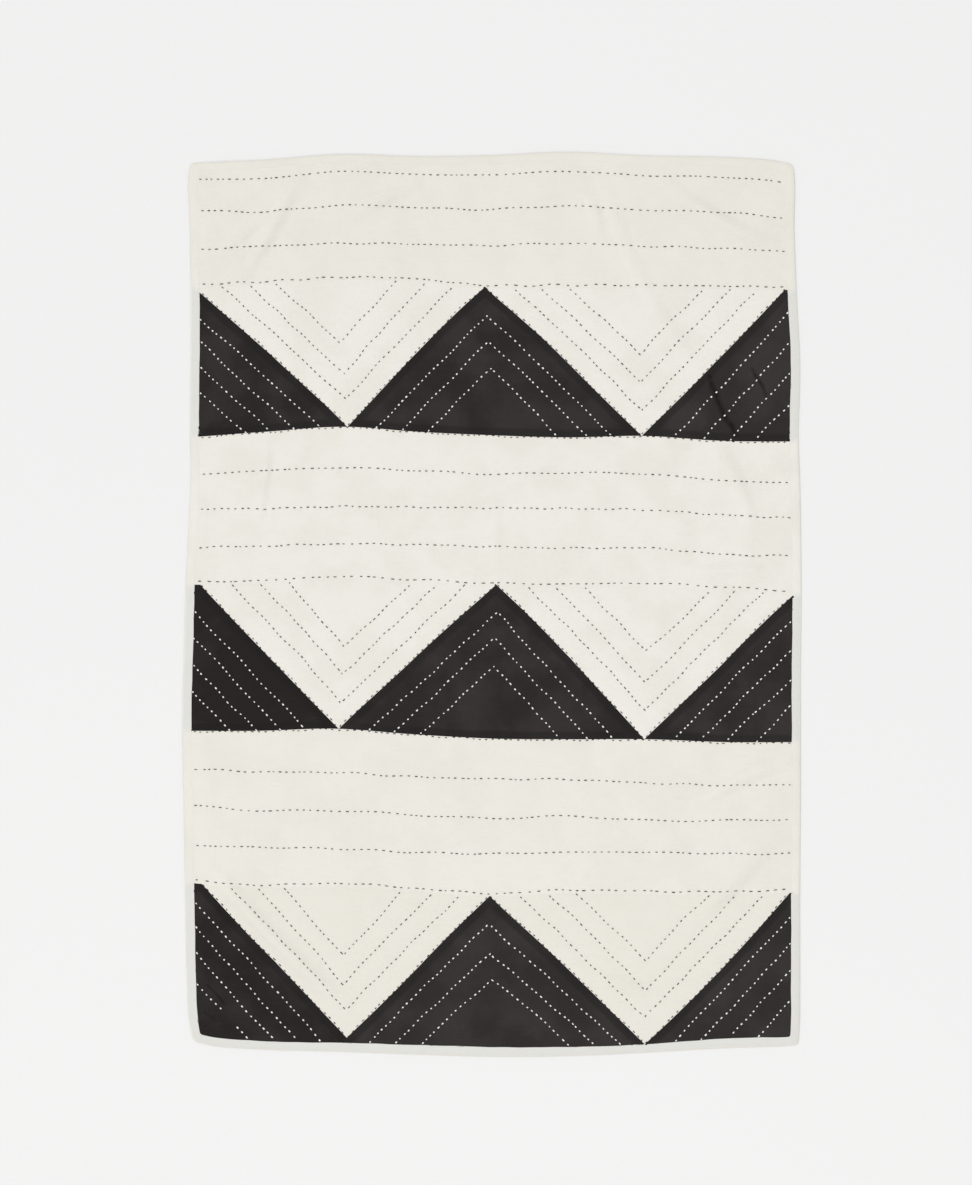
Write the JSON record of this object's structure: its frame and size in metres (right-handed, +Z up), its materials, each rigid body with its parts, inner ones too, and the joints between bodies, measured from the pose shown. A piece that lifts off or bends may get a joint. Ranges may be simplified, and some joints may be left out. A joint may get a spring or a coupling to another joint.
{
  "type": "baby quilt",
  "caption": "Flat pieced and hand-quilted baby quilt of cotton with sewn channels, soft folds and a folded binding all round.",
  "frame": {"origin": "middle of the quilt's box on the surface that it lies on", "axes": "+X to the right across the quilt, +Y up its length towards the plain top band, +Z up from the surface, out of its pieced face"},
  "size_m": [0.8782, 1.2832, 0.0093],
  "materials": {
    "pieced_cloth": "plain-woven cotton in ivory with charcoal triangles, sewn through with running stitches",
    "binding_cloth": "plain-woven ivory cotton, folded over the edge"
  },
  "bodies": {
    "root": {"quilted_body": "pieced_cloth", "binding": "binding_cloth"}
  },
  "joints": []
}
